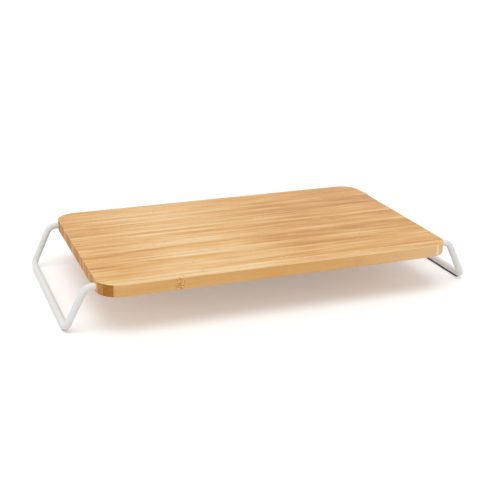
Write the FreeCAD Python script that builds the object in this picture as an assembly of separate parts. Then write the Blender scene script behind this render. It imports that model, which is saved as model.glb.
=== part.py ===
"""A bamboo cutting board that stands on two plug-in legs of bent wire.

Millimetres. X runs along the board, Y from its front edge to its back edge, and Z up from the table.
The origin is on the table, under the middle of the board.
"""
import FreeCAD, Part
import math
import os

from FreeCAD import Vector

# The board, and the strips that it is glued from
board_length = 400.0
board_width = 264.0
board_thickness = 13.0
board_clearance = 42.4
corner_radius = 25.0
edge_chamfer = 1.2
full_strip_count = 35
front_strip_width = 2.6
back_strip_width = 2.4

# The wire legs
wire_diameter = 7.5
pin_inset = 24.0
pin_depth = 32.0
pin_stub = 3.0
pin_chamfer = 0.8
leg_lean_degrees = 26.5
leg_toe_in_degrees = 4.0
shoulder_bend_radius = 12.0
foot_bend_radius = 7.0

# The bores for the pins
bore_clearance = 0.05
bore_end_gap = 0.3
bore_easing = 0.5

# The grip strips under the rails
grip_thickness = 1.7
grip_width = 3.8
grip_end_gap = 1.0
grip_glue_gap = 0.05

# How far a cut runs past the face that it opens
overrun = 1.0

# Places that follow from the sizes above
end_face = board_length / 2
front_face = -board_width / 2
full_strip_width = (board_width - front_strip_width - back_strip_width) / full_strip_count
wire_radius = wire_diameter / 2
pin_height = board_clearance + board_thickness / 2
pin_place = board_width / 2 - pin_inset
pin_end = end_face - pin_depth
rail_height = grip_thickness + wire_radius
leg_drop = pin_height - rail_height
lean_run = leg_drop * math.tan(math.radians(leg_lean_degrees))
toe_in_run = leg_drop * math.tan(math.radians(leg_toe_in_degrees))
rail_corner = pin_place - toe_in_run


def bend_setback(bend_radius, before, after):
    """How far a bend's arc starts before the corner between two directions."""
    return bend_radius * math.tan(before.getAngle(after) / 2)


# The directions of a right leg's wire: out of the board, down its front side and along the rail
out_of_board = Vector(1, 0, 0)
down_the_side = Vector(lean_run, toe_in_run, -leg_drop)
along_the_rail = Vector(0, 1, 0)
shoulder_reach = end_face + pin_stub + bend_setback(shoulder_bend_radius, out_of_board, down_the_side)
rail_reach = shoulder_reach + lean_run
rail_half_run = rail_corner - bend_setback(foot_bend_radius, down_the_side, along_the_rail)


def bent_wire_path(corners, bend_radii):
    """Straight runs through the corners, with a tangent arc in place of each corner between the ends."""
    edges = []
    run_start = corners[0]
    for before, corner, after, bend_radius in zip(corners, corners[1:], corners[2:], bend_radii):
        back = (before - corner).normalize()
        onward = (after - corner).normalize()
        setback = bend_setback(bend_radius, -back, onward)
        centre_distance = math.hypot(setback, bend_radius)
        arc_start = corner + back * setback
        arc_middle = corner + (back + onward).normalize() * (centre_distance - bend_radius)
        arc_end = corner + onward * setback
        edges.append(Part.LineSegment(run_start, arc_start).toShape())
        edges.append(Part.Arc(arc_start, arc_middle, arc_end).toShape())
        run_start = arc_end
    edges.append(Part.LineSegment(run_start, corners[-1]).toShape())
    return Part.Wire(edges)


def wire_leg(side):
    """One leg, bent from a single round wire. The side is -1 for the left leg and 1 for the right."""
    corners = [
        Vector(side * pin_end, -pin_place, pin_height),
        Vector(side * shoulder_reach, -pin_place, pin_height),
        Vector(side * rail_reach, -rail_corner, rail_height),
        Vector(side * rail_reach, rail_corner, rail_height),
        Vector(side * shoulder_reach, pin_place, pin_height),
        Vector(side * pin_end, pin_place, pin_height),
    ]
    bends = [shoulder_bend_radius, foot_bend_radius, foot_bend_radius, shoulder_bend_radius]
    section = Part.Wire(Part.makeCircle(wire_radius, corners[0], out_of_board))
    wire = bent_wire_path(corners, bends).makePipeShell([section], True, False)
    pin_rims = [edge for edge in wire.Edges if abs(edge.CenterOfMass.x) < pin_end + pin_chamfer
                and edge.BoundBox.XLength < pin_chamfer]
    return wire.makeChamfer(pin_chamfer, pin_rims)


def rail_grip(side):
    """The strip under one rail: flat below, round at both ends, and hollowed to seat on the wire."""
    rail_x = side * rail_reach
    half_width = grip_width / 2
    half_run = rail_half_run - grip_end_gap - half_width
    outline = [
        Part.LineSegment(Vector(rail_x + half_width, -half_run, 0), Vector(rail_x + half_width, half_run, 0)),
        Part.Arc(Vector(rail_x + half_width, half_run, 0), Vector(rail_x, half_run + half_width, 0),
                 Vector(rail_x - half_width, half_run, 0)),
        Part.LineSegment(Vector(rail_x - half_width, half_run, 0), Vector(rail_x - half_width, -half_run, 0)),
        Part.Arc(Vector(rail_x - half_width, -half_run, 0), Vector(rail_x, -half_run - half_width, 0),
                 Vector(rail_x + half_width, -half_run, 0)),
    ]
    blank = Part.Face(Part.Wire([piece.toShape() for piece in outline])).extrude(Vector(0, 0, rail_height))
    seat_start = Vector(rail_x, -rail_half_run, rail_height)
    seat = Part.makeCylinder(wire_radius + grip_glue_gap, 2 * rail_half_run, seat_start, along_the_rail)
    return blank.cut(seat)


def pin_bore(side, place):
    """The blind hole for one pin, with an eased mouth in the board's end face."""
    inward = Vector(-side, 0, 0)
    start = Vector(side * (end_face + overrun), place, pin_height)
    radius = wire_radius + bore_clearance
    drill = Part.makeCylinder(radius, overrun + pin_depth + bore_end_gap, start, inward)
    easing = overrun + bore_easing
    return drill.fuse(Part.makeCone(radius + easing, radius, easing, start, inward))


def board_panel():
    """The whole board: round corners, eased edges and the four bores."""
    panel = Part.makeBox(board_length, board_width, board_thickness,
                         Vector(-end_face, front_face, board_clearance))
    upright_edges = [edge for edge in panel.Edges if edge.BoundBox.ZLength > board_thickness / 2]
    panel = panel.makeFillet(corner_radius, upright_edges)
    rim_edges = [edge for edge in panel.Edges if edge.BoundBox.ZLength < board_thickness / 2]
    panel = panel.makeChamfer(edge_chamfer, rim_edges)
    bores = [pin_bore(side, place) for side in (-1, 1) for place in (-pin_place, pin_place)]
    return panel.cut(bores)


def board_strips():
    """The bamboo strips that make up the board, from its front edge to its back edge."""
    panel = board_panel()
    first_glue_line = front_face + front_strip_width
    glue_lines = [first_glue_line + full_strip_width * number for number in range(full_strip_count + 1)]
    limits = [front_face - overrun, *glue_lines, board_width / 2 + overrun]
    strips = []
    for front, back in zip(limits, limits[1:]):
        slab = Part.makeBox(board_length + 2 * overrun, back - front, board_thickness + 2 * overrun,
                            Vector(-end_face - overrun, front, board_clearance - overrun))
        strips.append(panel.common(slab).Solids[0])
    return strips


os.makedirs("parts", exist_ok=True)
for number, strip in enumerate(board_strips(), start=1):
    strip.exportStep(f"parts/bamboo_strip_{number:02d}.step")
for side_name, side in (("left", -1), ("right", 1)):
    wire_leg(side).exportStep(f"parts/{side_name}_leg.step")
    rail_grip(side).exportStep(f"parts/{side_name}_rail_grip.step")
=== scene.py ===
"""The looks of a bamboo cutting board on two wire legs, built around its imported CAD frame.

All lengths are in metres. Colours are linear red, green and blue, with an alpha of 1.
"""
import math
import random

import bmesh
import bpy
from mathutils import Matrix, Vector


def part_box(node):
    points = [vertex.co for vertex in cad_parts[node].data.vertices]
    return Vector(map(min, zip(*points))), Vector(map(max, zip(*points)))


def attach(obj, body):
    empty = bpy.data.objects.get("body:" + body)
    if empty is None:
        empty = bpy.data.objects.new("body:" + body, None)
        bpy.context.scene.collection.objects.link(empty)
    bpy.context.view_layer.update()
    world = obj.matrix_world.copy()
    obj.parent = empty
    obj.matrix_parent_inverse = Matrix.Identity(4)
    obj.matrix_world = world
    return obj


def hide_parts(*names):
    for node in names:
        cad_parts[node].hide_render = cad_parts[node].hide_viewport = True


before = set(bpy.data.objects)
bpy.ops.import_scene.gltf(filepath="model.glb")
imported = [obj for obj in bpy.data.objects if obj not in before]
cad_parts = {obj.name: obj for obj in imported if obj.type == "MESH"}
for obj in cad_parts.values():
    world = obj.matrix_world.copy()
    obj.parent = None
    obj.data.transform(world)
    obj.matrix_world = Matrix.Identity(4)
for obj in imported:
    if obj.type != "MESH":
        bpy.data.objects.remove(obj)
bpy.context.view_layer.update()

# Sizes that the board shares with its solids
CORNER_RADIUS = 0.025
BORE_RADIUS = 0.0038
BORE_DEPTH = 0.0323
BORE_EASING = 0.0005
PIN_INSET = 0.024

# How the board's edges and bores are drawn
RIM_RADIUS = 0.0005
RIM_STEPS = 6
CORNER_STEP_DEGREES = 3.0
LEAST_CORNER_STEPS = 2
FLAT_MARGIN = 0.0008
GROOVE = 0.0001
SHARP_DEGREES = 20.0
BORE_SIDES = 48
CUTTER_OVERRUN = 0.001
MERGE_DISTANCE = 1e-7

# The strips, counted from the front edge
STRIP_COUNT = 37
EDGE_STRIPS = (1, STRIP_COUNT)
TONE_SEED = 2081

# How the tones are drawn: left end, right end and middle against the strip's own tone. The darker right end
# is a painted dark reflection, and the lift in the middle is a painted sheen
TONE_MEAN = 0.58
TONE_SPREAD = 0.15
LEFT_TREND = 0.02
# The right end's darkening is a painted dark reflection
RIGHT_DARK_REFLECTION = -0.22
SHEEN_LIFT = 0.42
END_SPREAD = 0.1
SHEEN_LIFT_SPREAD = 0.08
PALE_STRIPS = (2, 3, 10, 11, 16)
PALE_STEP = 0.3
DARK_STRIPS = (13, 14)
DARK_STEP = -0.22

# Lowest and highest draws: the tone of a cut end, the shift of a strip's pattern, the first knuckle's place,
# the way from it to the second, and how strongly a knuckle shows
END_TONE_DRAW = (0.25, 1.15)
SHIFT_DRAW = (-4.0, 4.0)
KNUCKLE_DRAW = (-0.19, 0.06)
KNUCKLE_GAP_DRAW = (0.2, 0.3)
KNUCKLE_FORCE_DRAW = (0.2, 0.7)

# Strips that the photograph shows plainly: tones (left, right, painted sheen in the middle), knuckles (place
# and force, twice) and end tones (left, right)
SET_TONES = {1: (0.76, 0.55, 0.0)}
SET_KNUCKLES = {
    1: (-0.117, 1.0, 0.086, 0.2),
    10: (0.111, 0.9, -0.14, 0.4),
    14: (0.045, 0.7, -0.19, 0.4),
}
SET_ENDS = {1: (1.0, 2.1), 2: (0.08, 1.5), 3: (0.45, 1.1)}

# Where a look starts and is full, as a share of the surface's normal. The rim's painted highlight fades out
# again between the two values of RIM_ABOVE, and a face that points up by more than FLAT_TOP is a flat top
END_CUT = (0.12, 0.4)
EDGE_STRIP_END_CUT = (0.22, 0.34)
END_PORES = (0.4, 0.65)
BROAD_FACE = (0.5, 0.8)
RIM_BELOW = (0.4, 0.8)
RIM_ABOVE = (0.95, 1.0)
FLAT_TOP = 0.99

# How much of the painted rim highlight also lies on the narrow tops of the two edge strips
EDGE_TOP_HIGHLIGHT = 0.3

# Colours of the bamboo along its fibres, evenly spaced from the darkest tone to the palest
WOOD_TONES = (
    (0.55, 0.226, 0.027, 1.0),
    (0.745, 0.366, 0.075, 1.0),
    (0.865, 0.525, 0.195, 1.0),
    (0.945, 0.67, 0.345, 1.0),
)
PALEST_WOOD_TONE = 1.5

# Colours of its cut ends, in the same way
END_TONES = ((0.42, 0.15, 0.022, 1.0), (0.74, 0.38, 0.11, 1.0), (0.98, 0.75, 0.49, 1.0))
PALEST_END_TONE = 2.0

# Colours that are mixed into these, each after its greatest share
BROAD_TINT = (0.45, (0.70, 0.375, 0.15, 1.0))
RIGHT_PALE_TINT = (0.65, (0.90, 0.62, 0.34, 1.0))
DASH_TINT = (0.3, (0.42, 0.17, 0.025, 1.0))
# The rim's tint is a painted highlight
RIM_HIGHLIGHT_TINT = (0.9, (0.98, 0.79, 0.51, 1.0))
BAND_TINT = (0.4, (0.90, 0.58, 0.22, 1.0))
DOT_TINT = (0.9, (0.34, 0.085, 0.0, 1.0))
TICK_TINT = (0.5, (0.55, 0.19, 0.0, 1.0))
PORE_TINT = (0.35, (0.24, 0.085, 0.02, 1.0))
GLUE_TINT = (0.5, (0.36, 0.14, 0.025, 1.0))

# Patterns of the bamboo: scales along, across and up the board, and the fineness of their detail
CLOUDS = ((12.0, 120.0, 110.0), 1.0)
STREAKS = ((20.0, 330.0, 300.0), 2.0)
FIBRES = ((28.0, 1700.0, 1500.0), 2.0)
BUNDLES = ((85.0, 3400.0, 3000.0), 1.0)
WOBBLE = ((0.0, 420.0, 420.0), 2.0)
MOTTLE = ((0.0, 300.0, 300.0), 2.0)
PORE_SCALE = (0.0, 1250.0, 1250.0)
DOT_SCALE = 560.0
DOT_SCATTER = 0.8

# How far the patterns swing the tone, and how much calmer they are on a broad face
CLOUD_SWING = 1.5
STREAK_SWING = 1.25
FIBRE_SWING = 0.5
MOTTLE_SWING = 0.5
SKIN_DARKENING = 0.1
BROAD_CALM = 0.55

# Along the board: the painted sheen in the middle, the paler right of a broad face, and a knuckle's band,
# tick and wobble
SHEEN_PLACE = -0.075
SHEEN_EDGE = (0.02, 0.12)
RIGHT_PALE_EDGE = (0.02, 0.2)
BAND_EDGE = (0.0035, 0.006)
TICK_EDGE = (0.0004, 0.0013)
WOBBLE_REACH = 0.003

# Where dashes, dots and pores start and end in their patterns, and how they crowd towards the skin side
DASH_LEVEL = 0.60
DASH_CROWDING = 0.05
DASH_EDGE = (0.0, 0.09)
DOT_EDGE = (0.27, 0.48)
FAINT_DOTS = (0.05, 0.5)
PORE_WIDTH = 0.3
PORE_CROWDING = 0.06
PORE_EDGE = (0.0, 0.12)

# The varnish, and the relief under it
VARNISH_ROUGHNESS = 0.2
FIBRE_ROUGHNESS = 0.16
CUT_ROUGHNESS = 0.3
VARNISH_SPECULAR = 0.18
DASH_DEPTH = 0.5
DOT_DEPTH = 0.2
PORE_DEPTH = 1.0

# The stage, the light, and the camera from a fit to the photograph's edges
WHITE = (1.0, 1.0, 1.0, 1.0)
FLOOR_REACH = 15.0
FLOOR_COLOUR = (0.9, 0.9, 0.9, 1.0)
FLOOR_ROUGHNESS = 0.9
FLOOR_GLOW = 0.25
ROOM_ZENITH = 0.45
ROOM_HORIZON = 0.9
KEY_STRENGTH = 1.15
KEY_SPREAD_DEGREES = 45.0
KEY_DIRECTION = (0.12, 0.22, -1.0)
CAMERA_PLACE = (-0.38476, -1.07953, 0.42653)
CAMERA_TURN_DEGREES = 19.951
CAMERA_TILT_DEGREES = 19.137
FOCAL_LENGTH_PIXELS = 1025.63
PICTURE_PIXELS = 500


def strip_node(number):
    """The CAD node of a strip, counted from the front edge."""
    return f"bamboo_strip_{number:02d}"


board_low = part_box(strip_node(1))[0]
board_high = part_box(strip_node(STRIP_COUNT))[1]
end_face = max(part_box(strip_node(number))[1].x for number in range(1, STRIP_COUNT + 1))
long_face = board_high.y
under_side = board_low.z
work_top = board_high.z
pin_height = (under_side + work_top) / 2
pin_place = long_face - PIN_INSET
arc_centre_x = end_face - CORNER_RADIUS
arc_centre_y = long_face - CORNER_RADIUS


# Mesh tools

def new_piece(name, data):
    """A new object in the scene."""
    piece = bpy.data.objects.new(name, data)
    bpy.context.scene.collection.objects.link(piece)
    return piece


def dress(mesh, finish):
    """Gives a mesh one material in place of what it had."""
    mesh.materials.clear()
    mesh.materials.append(finish)


def half_length(place, inset):
    """Half of the board's length at a place across it, on the outline drawn in by an inset."""
    beyond = max(0.0, abs(place) - arc_centre_y)
    radius = CORNER_RADIUS - inset
    return arc_centre_x + math.sqrt(max(0.0, radius * radius - beyond * beyond))


def rim_inset(height):
    """How far the round rim draws the outline in at a height."""
    rise = min(height - under_side, work_top - height)
    lean = 1 - min(1.0, rise / RIM_RADIUS)
    return RIM_RADIUS * (1 - math.sqrt(1 - lean * lean))


def rim_rows():
    """Pairs of height and inset up the board's edge: two rounds, each between two flat margins."""
    bottom = [(0.0, RIM_RADIUS + FLAT_MARGIN)]
    for step in range(RIM_STEPS + 1):
        angle = math.pi / 2 * step / RIM_STEPS
        bottom.append((RIM_RADIUS * (1 - math.cos(angle)), RIM_RADIUS * (1 - math.sin(angle))))
    bottom.append((RIM_RADIUS + FLAT_MARGIN, 0.0))
    rows = [(under_side + rise, inset) for rise, inset in bottom]
    rows += [(work_top - rise, inset) for rise, inset in reversed(bottom)]
    return rows


def arc_angle(distance, inset):
    """The angle on a corner's arc that lies at a distance from the board's middle line."""
    share = (distance - arc_centre_y) / (CORNER_RADIUS - inset)
    return math.asin(min(1.0, max(0.0, share)))


def strip_columns(inner, outer, at_edge, inset):
    """Distances from the board's middle line across one strip, from its inner glue line outwards."""
    first = inner + GROOVE
    last = long_face - inset if at_edge else outer - GROOVE
    outer_glue_line = [] if at_edge else [outer]
    if inner < arc_centre_y - GROOVE:
        return [inner, first, last] + outer_glue_line
    first_angle = arc_angle(first, inset)
    last_angle = math.pi / 2 if at_edge else arc_angle(last, inset)
    whole_turn = arc_angle(outer, 0.0) - arc_angle(inner, 0.0)
    steps = max(LEAST_CORNER_STEPS, math.ceil(math.degrees(whole_turn) / CORNER_STEP_DEGREES))
    columns = [inner]
    for step in range(steps + 1):
        angle = first_angle + (last_angle - first_angle) * step / steps
        columns.append(arc_centre_y + (CORNER_RADIUS - inset) * math.sin(angle))
    return columns + outer_glue_line


def strip_end(build, end, side, inner, outer):
    """Rows of points over one end of a strip, from its underside to its top."""
    at_edge = outer > long_face - GROOVE
    rows = []
    for height, inset in rim_rows():
        columns = strip_columns(inner, outer, at_edge, inset)
        glue_lines = (0,) if at_edge else (0, len(columns) - 1)
        row = []
        for index, distance in enumerate(columns):
            level = height
            reach = half_length(distance, inset)
            if index in glue_lines:
                level = min(max(height, under_side + GROOVE), work_top - GROOVE)
                reach = half_length(distance, rim_inset(level)) - GROOVE
            row.append(build.verts.new((end * reach, side * distance, level)))
        rows.append(row)
    return rows


def join(build, first, second):
    """A row of faces between two rows of points."""
    for index in range(len(first) - 1):
        build.faces.new((first[index], first[index + 1], second[index + 1], second[index]))


def built_mesh(build, name):
    """A mesh of what was built, with all faces turned outwards."""
    bmesh.ops.recalc_face_normals(build, faces=build.faces)
    mesh = bpy.data.meshes.new(name)
    build.to_mesh(mesh)
    build.free()
    return mesh


def strip_mesh(low, high):
    """One strip of the board, with the round rim at its ends and a fine groove along its glue lines."""
    if low < 0 < high:
        side, inner, outer = 1, low, high
    else:
        side = -1 if low + high < 0 else 1
        inner, outer = sorted((abs(low), abs(high)))
    build = bmesh.new()
    left = strip_end(build, -1, side, inner, outer)
    right = strip_end(build, 1, side, inner, outer)
    for rows in (left, right):
        for lower, upper in zip(rows, rows[1:]):
            join(build, lower, upper)
    for level in (0, -1):
        join(build, left[level], right[level])
    for face in (0, -1):
        join(build, [row[face] for row in left], [row[face] for row in right])
    bmesh.ops.remove_doubles(build, verts=build.verts, dist=MERGE_DISTANCE)
    return built_mesh(build, "board_strip")


def bore_cutter(end, place):
    """A solid in the shape of one pin bore with its eased mouth, which runs past the board's end face."""
    stations = [
        (end_face + CUTTER_OVERRUN, BORE_RADIUS + BORE_EASING + CUTTER_OVERRUN),
        (end_face - BORE_EASING, BORE_RADIUS),
        (end_face - BORE_DEPTH, BORE_RADIUS),
    ]
    build = bmesh.new()
    rings = []
    for reach, radius in stations:
        ring = []
        for step in range(BORE_SIDES):
            angle = 2 * math.pi * step / BORE_SIDES
            across = place + radius * math.cos(angle)
            height = pin_height + radius * math.sin(angle)
            ring.append(build.verts.new((end * reach, across, height)))
        rings.append(ring)
    for near, far in zip(rings, rings[1:]):
        join(build, near + near[:1], far + far[:1])
    build.faces.new(rings[0])
    build.faces.new(rings[-1])
    return new_piece("bore_cutter", built_mesh(build, "bore_cutter"))


def take_out(piece, cutters):
    """Cuts solids out of a piece for good, and deletes them."""
    for cutter in cutters:
        cut = piece.modifiers.new("bore", "BOOLEAN")
        cut.operation = "DIFFERENCE"
        cut.solver = "EXACT"
        cut.object = cutter
    bpy.context.view_layer.update()
    evaluated = piece.evaluated_get(bpy.context.evaluated_depsgraph_get())
    mesh = bpy.data.meshes.new_from_object(evaluated)
    piece.modifiers.clear()
    piece.data = mesh
    for cutter in cutters:
        bpy.data.objects.remove(cutter)


def crease(mesh):
    """Smooth faces, with a sharp edge wherever two faces meet at more than the sharp angle."""
    build = bmesh.new()
    build.from_mesh(mesh)
    for face in build.faces:
        face.smooth = True
    for edge in build.edges:
        edge.smooth = edge.calc_face_angle(0.0) < math.radians(SHARP_DEGREES)
    build.to_mesh(mesh)
    build.free()


def make_strip(number):
    """One strip of the board, with its share of the bores."""
    low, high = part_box(strip_node(number))
    strip = new_piece(f"board_strip_{number:02d}", strip_mesh(low.y, high.y))
    cutters = []
    for place in (-pin_place, pin_place):
        if low.y < place + BORE_RADIUS and high.y > place - BORE_RADIUS:
            cutters += [bore_cutter(end, place) for end in (-1, 1)]
    if cutters:
        take_out(strip, cutters)
    crease(strip.data)
    return strip


# What sets one strip apart from the next

def draw_look(number, draw):
    """The values of one strip's look: drawn at random, and set where the photograph shows them plainly."""
    tone = draw.gauss(TONE_MEAN, TONE_SPREAD)
    if number in PALE_STRIPS:
        tone = TONE_MEAN + PALE_STEP
    if number in DARK_STRIPS:
        tone = TONE_MEAN + DARK_STEP
    left_tone = tone + draw.gauss(LEFT_TREND, END_SPREAD)
    # The right end is darkened by a painted dark reflection
    right_tone = tone + draw.gauss(RIGHT_DARK_REFLECTION, END_SPREAD)
    sheen_lift = draw.gauss(SHEEN_LIFT, SHEEN_LIFT_SPREAD)
    left_end = draw.uniform(*END_TONE_DRAW)
    right_end = draw.uniform(*END_TONE_DRAW)
    shift = draw.uniform(*SHIFT_DRAW)
    skin = draw.choice((-1, 1))
    knuckle_a = draw.uniform(*KNUCKLE_DRAW)
    knuckle_b = knuckle_a + draw.uniform(*KNUCKLE_GAP_DRAW)
    force_a = draw.uniform(*KNUCKLE_FORCE_DRAW)
    force_b = draw.uniform(*KNUCKLE_FORCE_DRAW)
    if number in SET_TONES:
        left_tone, right_tone, sheen_lift = SET_TONES[number]
    if number in SET_KNUCKLES:
        knuckle_a, force_a, knuckle_b, force_b = SET_KNUCKLES[number]
    if number in SET_ENDS:
        left_end, right_end = SET_ENDS[number]
    even = {
        "shift": shift,
        "sheen_lift": sheen_lift,
        "knuckle_a": knuckle_a,
        "knuckle_a_force": force_a,
        "knuckle_b": knuckle_b,
        "knuckle_b_force": force_b,
    }
    two_sided = {"tone": (left_tone, right_tone), "end_tone": (left_end, right_end)}
    return even, two_sided, skin


def paint(mesh, name, values, domain):
    """A named number at each point or each face corner, which the material reads."""
    layer = mesh.attributes.new(name, "FLOAT", domain)
    layer.data.foreach_set("value", values)


def smooth(value, low, high):
    """A smooth step from 0 to 1 as a value goes from low to high."""
    share = min(1.0, max(0.0, (value - low) / (high - low)))
    return share * share * (3 - 2 * share)


def in_groove(face, low, high):
    """Whether a face lies in the fine groove along one of a strip's glue lines."""
    glue_lines = [edge for edge in (low, high) if abs(edge) < long_face - GROOVE]
    return min(abs(face.center.y - edge) for edge in glue_lines) < GROOVE


def rim_highlight_share(normal, at_edge):
    """The share of the painted highlight: 1 on the upper side of the round rim at the top, and 0 on flat
    faces, except an edge strip's top.
    """
    if at_edge and normal.z > FLAT_TOP:
        return EDGE_TOP_HIGHLIGHT
    return smooth(normal.z, *RIM_BELOW) * (1 - smooth(normal.z, *RIM_ABOVE))


def end_cut_share(normal, at_edge):
    """1 on a cut end and 0 elsewhere. An edge strip runs round its left corner with no cut."""
    if at_edge:
        return smooth(normal.x, *EDGE_STRIP_END_CUT)
    return smooth(abs(normal.x), *END_CUT)


def paint_strip(mesh, number, look):
    """Paints one strip's own values, and where its faces lie, for the bamboo's material."""
    even, two_sided, skin = look
    low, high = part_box(strip_node(number))
    middle, half_width = (low.y + high.y) / 2, (high.y - low.y) / 2
    points = [vertex.co for vertex in mesh.vertices]
    for name, value in even.items():
        paint(mesh, name, [value] * len(points), "POINT")
    for name, (left, right) in two_sided.items():
        paint(mesh, name, [left if point.x < 0 else right for point in points], "POINT")
    paint(mesh, "skin_side", [skin * (point.y - middle) / half_width for point in points], "POINT")

    normals = [corner.vector for corner in mesh.corner_normals]
    glue = [0.0] * len(normals)
    for face in mesh.polygons:
        if in_groove(face, low.y, high.y):
            for corner in face.loop_indices:
                glue[corner] = 1.0
                normals[corner] = face.normal
    at_edge = number in EDGE_STRIPS
    rim_highlights = [rim_highlight_share(normal, at_edge) * (1 - filled) for normal, filled in zip(normals, glue)]
    paint(mesh, "end_cut", [end_cut_share(normal, at_edge) for normal in normals], "CORNER")
    paint(mesh, "end_pores", [smooth(abs(normal.x), *END_PORES) for normal in normals], "CORNER")
    paint(mesh, "broad_face", [smooth(abs(normal.y), *BROAD_FACE) for normal in normals], "CORNER")
    paint(mesh, "glue", glue, "CORNER")
    paint(mesh, "rim", rim_highlights, "CORNER")


# Shader tools

def node(tree, kind, inputs=None, **settings):
    """A shader node, with its settings, and with its inputs set to numbers or joined to sockets."""
    made = tree.nodes.new(kind)
    for name, value in settings.items():
        setattr(made, name, value)
    for name, value in (inputs or {}).items():
        if isinstance(value, bpy.types.NodeSocket):
            tree.links.new(value, made.inputs[name])
        else:
            made.inputs[name].default_value = value
    return made


def maths(tree, operation, first, second=0.0):
    """The result of a sum on one or two numbers or sockets."""
    return node(tree, "ShaderNodeMath", {0: first, 1: second}, operation=operation).outputs[0]


def times(tree, first, second):
    """One value times another."""
    return maths(tree, "MULTIPLY", first, second)


def rest_of(tree, share):
    """What a share leaves of 1."""
    return maths(tree, "SUBTRACT", 1.0, share)


def shifted(tree, value, factor, start, more=None):
    """A value times a factor, plus a start, plus another value where one is given."""
    made = node(tree, "ShaderNodeMath", {0: value, 1: factor, 2: start}, operation="MULTIPLY_ADD")
    return made.outputs[0] if more is None else maths(tree, "ADD", made.outputs[0], more)


def ramp(tree, value, low, high):
    """A smooth step from 0 to 1 as a value goes from low to high."""
    made = node(tree, "ShaderNodeMapRange", {"Value": value, "From Min": low, "From Max": high},
                interpolation_type="SMOOTHSTEP")
    return made.outputs["Result"]


def mixed(tree, share, first, second):
    """Two colours mixed by a share."""
    return node(tree, "ShaderNodeMix", {0: share, 6: first, 7: second}, data_type="RGBA").outputs[2]


def tinted(tree, colour, where, tint):
    """A colour with a tint mixed in where it belongs, up to the tint's greatest share."""
    greatest_share, tint_colour = tint
    return mixed(tree, times(tree, where, greatest_share), colour, tint_colour)


def tone_colour(tree, tone, palest, colours):
    """A colour from an evenly spaced row of colours, for a tone from 0 to the palest."""
    made = node(tree, "ShaderNodeValToRGB", {"Fac": maths(tree, "DIVIDE", tone, palest)})
    stops = made.color_ramp.elements
    stops[0].color = colours[0]
    stops[1].color = colours[-1]
    for index, colour in enumerate(colours[1:-1], start=1):
        stops.new(index / (len(colours) - 1)).color = colour
    return made.outputs["Color"]


def stretch(tree, place, factors):
    """A place multiplied by one factor for each direction."""
    made = node(tree, "ShaderNodeVectorMath", {0: place, 1: factors}, operation="MULTIPLY")
    return made.outputs["Vector"]


def noise(tree, place, scale, detail):
    """A noise from 0 to 1, with a scale for each direction."""
    made = node(tree, "ShaderNodeTexNoise",
                {"Vector": stretch(tree, place, scale), "Scale": 1.0, "Detail": detail})
    return made.outputs["Fac"]


def attribute(tree, name):
    """A number that was painted on the mesh."""
    return node(tree, "ShaderNodeAttribute", attribute_name=name).outputs["Fac"]


def object_place(tree):
    """The place of a point of the surface, in the frame that all pieces share."""
    return node(tree, "ShaderNodeTexCoord").outputs["Object"]


def seen_directly(tree):
    """1 for what the camera sees, also in a reflection or through glass, and 0 for light on its way."""
    paths = node(tree, "ShaderNodeLightPath").outputs
    seen = maths(tree, "MAXIMUM", paths["Is Camera Ray"], paths["Is Glossy Ray"])
    return maths(tree, "MAXIMUM", seen, paths["Is Transmission Ray"])


def material(name):
    """A new material with one shader, and its node tree."""
    made = bpy.data.materials.new(name)
    made.use_nodes = True
    tree = made.node_tree
    return made, tree, tree.nodes["Principled BSDF"]


def connect(tree, shader, colour, roughness, height, bump_strength, bump_depth):
    """Joins a surface's colour, roughness and relief to its shader."""
    bump = node(tree, "ShaderNodeBump", {"Height": height, "Strength": bump_strength, "Distance": bump_depth})
    tree.links.new(colour, shader.inputs["Base Color"])
    tree.links.new(roughness, shader.inputs["Roughness"])
    tree.links.new(bump.outputs["Normal"], shader.inputs["Normal"])


# Materials

def fibre_wood(tree, place, along, broad, skin):
    """The wood's colour along its fibres, with the finest fibres and the dark dashes for its relief."""
    # The tone is lifted by a painted sheen in the middle of the board's length
    from_middle = maths(tree, "ABSOLUTE", maths(tree, "SUBTRACT", along, SHEEN_PLACE))
    sheen_share = rest_of(tree, ramp(tree, from_middle, *SHEEN_EDGE))
    sheen_lifted = times(tree, sheen_share, attribute(tree, "sheen_lift"))
    tone = maths(tree, "ADD", attribute(tree, "tone"), sheen_lifted)

    # Patterns of three widths swing the tone, and the skin side is darker
    cloud = noise(tree, place, *CLOUDS)
    streak = noise(tree, place, *STREAKS)
    fibre = noise(tree, place, *FIBRES)
    calm = shifted(tree, broad, -BROAD_CALM, 1.0)
    for value, swing in ((cloud, CLOUD_SWING), (streak, STREAK_SWING), (fibre, FIBRE_SWING)):
        tone = maths(tree, "ADD", tone, times(tree, shifted(tree, value, swing, -swing / 2), calm))
    tone = shifted(tree, skin, -SKIN_DARKENING, 0.0, tone)
    colour = tone_colour(tree, tone, PALEST_WOOD_TONE, WOOD_TONES)

    # A broad face has a colour of its own, and grows paler towards the right
    paler_right = times(tree, broad, ramp(tree, along, *RIGHT_PALE_EDGE))
    colour = tinted(tree, colour, broad, BROAD_TINT)
    colour = tinted(tree, colour, paler_right, RIGHT_PALE_TINT)

    # The narrowest bundles show as dark dashes
    bundle = noise(tree, place, *BUNDLES)
    level = shifted(tree, skin, -DASH_CROWDING, DASH_LEVEL)
    dash = ramp(tree, maths(tree, "SUBTRACT", bundle, level), *DASH_EDGE)
    return tinted(tree, colour, dash, DASH_TINT), fibre, dash


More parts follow.
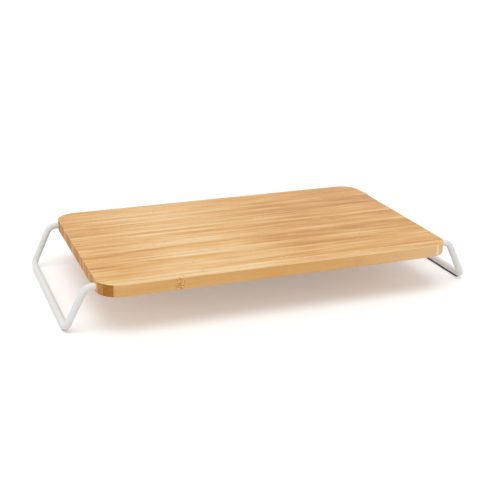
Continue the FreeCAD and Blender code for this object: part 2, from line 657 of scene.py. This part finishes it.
def knuckled_wood(tree, wood, place, along, broad):
    """The wood with its knuckles: a paler band of dots on a broad face, a short dark tick on an edge."""
    wobble = shifted(tree, noise(tree, place, *WOBBLE), 2 * WOBBLE_REACH, -WOBBLE_REACH)
    band, tick = 0.0, 0.0
    for name in ("knuckle_a", "knuckle_b"):
        apart = maths(tree, "ADD", maths(tree, "SUBTRACT", along, attribute(tree, name)), wobble)
        apart = maths(tree, "ABSOLUTE", apart)
        force = attribute(tree, name + "_force")
        own_band = times(tree, rest_of(tree, ramp(tree, apart, *BAND_EDGE)), force)
        own_tick = times(tree, rest_of(tree, ramp(tree, apart, *TICK_EDGE)), force)
        band = maths(tree, "MAXIMUM", band, own_band)
        tick = maths(tree, "MAXIMUM", tick, own_tick)

    # One dot in each cell of a pattern along and up the strip, faint in some cells
    own = node(tree, "ShaderNodeSeparateXYZ", {"Vector": place}).outputs
    flat = node(tree, "ShaderNodeCombineXYZ", {"X": own["X"], "Y": own["Z"]}).outputs["Vector"]
    cells = node(tree, "ShaderNodeTexVoronoi",
                 {"Vector": flat, "Scale": DOT_SCALE, "Randomness": DOT_SCATTER},
                 voronoi_dimensions="2D").outputs
    chance = node(tree, "ShaderNodeSeparateColor", {"Color": cells["Color"]}).outputs["Red"]
    dot = rest_of(tree, ramp(tree, cells["Distance"], *DOT_EDGE))
    dot = times(tree, dot, ramp(tree, chance, *FAINT_DOTS))
    dots = times(tree, times(tree, dot, band), broad)
    ticks = times(tree, tick, rest_of(tree, broad))
    wood = tinted(tree, wood, band, BAND_TINT)
    wood = tinted(tree, wood, dots, DOT_TINT)
    return tinted(tree, wood, ticks, TICK_TINT), dots


def cut_wood(tree, place, skin):
    """The colour of a cut end, and its pores: the fibre bundles, as dots that crowd towards the skin side."""
    cells = node(tree, "ShaderNodeTexVoronoi", {"Vector": stretch(tree, place, PORE_SCALE), "Scale": 1.0})
    width = shifted(tree, skin, PORE_CROWDING, PORE_WIDTH)
    past_pore = maths(tree, "SUBTRACT", cells.outputs["Distance"], width)
    pore = rest_of(tree, ramp(tree, past_pore, *PORE_EDGE))
    pores = times(tree, pore, attribute(tree, "end_pores"))
    mottle = noise(tree, place, *MOTTLE)
    tone = shifted(tree, mottle, MOTTLE_SWING, -MOTTLE_SWING / 2, attribute(tree, "end_tone"))
    colour = tone_colour(tree, tone, PALEST_END_TONE, END_TONES)
    return tinted(tree, colour, pores, PORE_TINT), pores


def bamboo_material():
    """Varnished bamboo: long fibres, a tone for each strip, knuckles, and darker cut ends with pores."""
    made, tree, shader = material("varnished_bamboo")
    here = object_place(tree)
    along = node(tree, "ShaderNodeSeparateXYZ", {"Vector": here}).outputs["X"]
    shift = attribute(tree, "shift")
    shifts = node(tree, "ShaderNodeCombineXYZ", {"X": shift, "Y": shift, "Z": shift}).outputs["Vector"]
    place = node(tree, "ShaderNodeVectorMath", {0: here, 1: shifts}, operation="ADD").outputs["Vector"]
    broad = attribute(tree, "broad_face")
    skin = attribute(tree, "skin_side")

    colour, fibre, dash = fibre_wood(tree, place, along, broad, skin)
    # A painted highlight along the upper side of the top rim
    colour = tinted(tree, colour, attribute(tree, "rim"), RIM_HIGHLIGHT_TINT)
    colour, dots = knuckled_wood(tree, colour, place, along, broad)
    cut_colour, pores = cut_wood(tree, place, skin)
    cut = attribute(tree, "end_cut")
    colour = mixed(tree, cut, colour, cut_colour)
    colour = tinted(tree, colour, attribute(tree, "glue"), GLUE_TINT)

    varnish = shifted(tree, fibre, FIBRE_ROUGHNESS, VARNISH_ROUGHNESS)
    roughness = shifted(tree, cut, CUT_ROUGHNESS, 0.0, varnish)
    height = shifted(tree, dash, -DASH_DEPTH, 0.0, fibre)
    height = shifted(tree, dots, -DOT_DEPTH, 0.0, height)
    height = shifted(tree, times(tree, pores, cut), -PORE_DEPTH, 0.0, height)
    connect(tree, shader, colour, roughness, height, bump_strength=0.2, bump_depth=0.0002)
    shader.inputs["Specular IOR Level"].default_value = VARNISH_SPECULAR
    return made


def pebbled_material(name, colours, clouds, cloud_detail, pebbles, smoothest, rough_swing, **bump):
    """A finish with faint clouds in its colour and a fine pebbled skin."""
    made, tree, shader = material(name)
    here = object_place(tree)
    cloud = noise(tree, here, (clouds, clouds, clouds), cloud_detail)
    pebble = noise(tree, here, (pebbles, pebbles, pebbles), detail=2.0)
    roughness = shifted(tree, pebble, rough_swing, smoothest)
    connect(tree, shader, mixed(tree, cloud, *colours), roughness, pebble, **bump)
    return made


# The board
bamboo = bamboo_material()
draw = random.Random(TONE_SEED)
for number in range(1, STRIP_COUNT + 1):
    strip = make_strip(number)
    paint_strip(strip.data, number, draw_look(number, draw))
    dress(strip.data, bamboo)
    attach(strip, "board")
    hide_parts(strip_node(number))

# The legs and their grips keep their solids: a satin white powder coat, and a dark matte rubber
coat = pebbled_material("white_powder_coat", ((0.80, 0.80, 0.795, 1.0), (0.84, 0.84, 0.835, 1.0)),
                        clouds=55.0, cloud_detail=2.0, pebbles=1300.0, smoothest=0.33, rough_swing=0.14,
                        bump_strength=0.2, bump_depth=0.00006)
rubber = pebbled_material("dark_rubber", ((0.028, 0.028, 0.03, 1.0), (0.06, 0.06, 0.062, 1.0)),
                          clouds=140.0, cloud_detail=3.0, pebbles=2300.0, smoothest=0.62, rough_swing=0.2,
                          bump_strength=0.4, bump_depth=0.0001)
for side in ("left", "right"):
    dress(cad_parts[f"{side}_leg"].data, coat)
    dress(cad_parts[f"{side}_rail_grip"].data, rubber)

# The floor, which keeps the shadow
floor_mesh = bpy.data.meshes.new("floor")
floor_corners = [(-FLOOR_REACH, -FLOOR_REACH, 0), (FLOOR_REACH, -FLOOR_REACH, 0),
                 (FLOOR_REACH, FLOOR_REACH, 0), (-FLOOR_REACH, FLOOR_REACH, 0)]
floor_mesh.from_pydata(floor_corners, [], [(0, 1, 2, 3)])
floor = new_piece("floor", floor_mesh)
pale_floor, floor_tree, floor_shader = material("pale_floor")
floor_shader.inputs["Base Color"].default_value = FLOOR_COLOUR
floor_shader.inputs["Roughness"].default_value = FLOOR_ROUGHNESS
floor_shader.inputs["Specular IOR Level"].default_value = 0.0
floor_shader.inputs["Emission Color"].default_value = WHITE
glow = times(floor_tree, seen_directly(floor_tree), FLOOR_GLOW)
floor_tree.links.new(glow, floor_shader.inputs["Emission Strength"])
dress(floor_mesh, pale_floor)

# The room: white to the eye, while its light on the object is weaker from above than from the horizon
scene = bpy.context.scene
scene.view_settings.view_transform = "Standard"
world = bpy.data.worlds.new("white_room")
scene.world = world
world.use_nodes = True
sky = world.node_tree
backdrop = sky.nodes["Background"]
backdrop.inputs["Color"].default_value = WHITE
direction = node(sky, "ShaderNodeTexCoord").outputs["Generated"]
upward = node(sky, "ShaderNodeSeparateXYZ", {"Vector": direction}).outputs["Z"]
room = node(sky, "ShaderNodeMapRange", {"Value": upward, "To Min": ROOM_HORIZON, "To Max": ROOM_ZENITH})
seen = seen_directly(sky)
lit = times(sky, rest_of(sky, seen), room.outputs["Result"])
sky.links.new(maths(sky, "ADD", seen, lit), backdrop.inputs["Strength"])

# The key light
lamp = bpy.data.lights.new("key_light", "SUN")
lamp.energy = KEY_STRENGTH
lamp.angle = math.radians(KEY_SPREAD_DEGREES)
key_light = new_piece("key_light", lamp)
key_light.rotation_mode = "QUATERNION"
key_light.rotation_quaternion = Vector(KEY_DIRECTION).to_track_quat("-Z", "Y")

# The camera
lens = bpy.data.cameras.new("camera")
lens.sensor_fit = "HORIZONTAL"
lens.lens = FOCAL_LENGTH_PIXELS / PICTURE_PIXELS * lens.sensor_width
camera = new_piece("camera", lens)
camera.location = CAMERA_PLACE
camera.rotation_euler = (math.radians(90 - CAMERA_TILT_DEGREES), 0.0, -math.radians(CAMERA_TURN_DEGREES))
scene.camera = camera
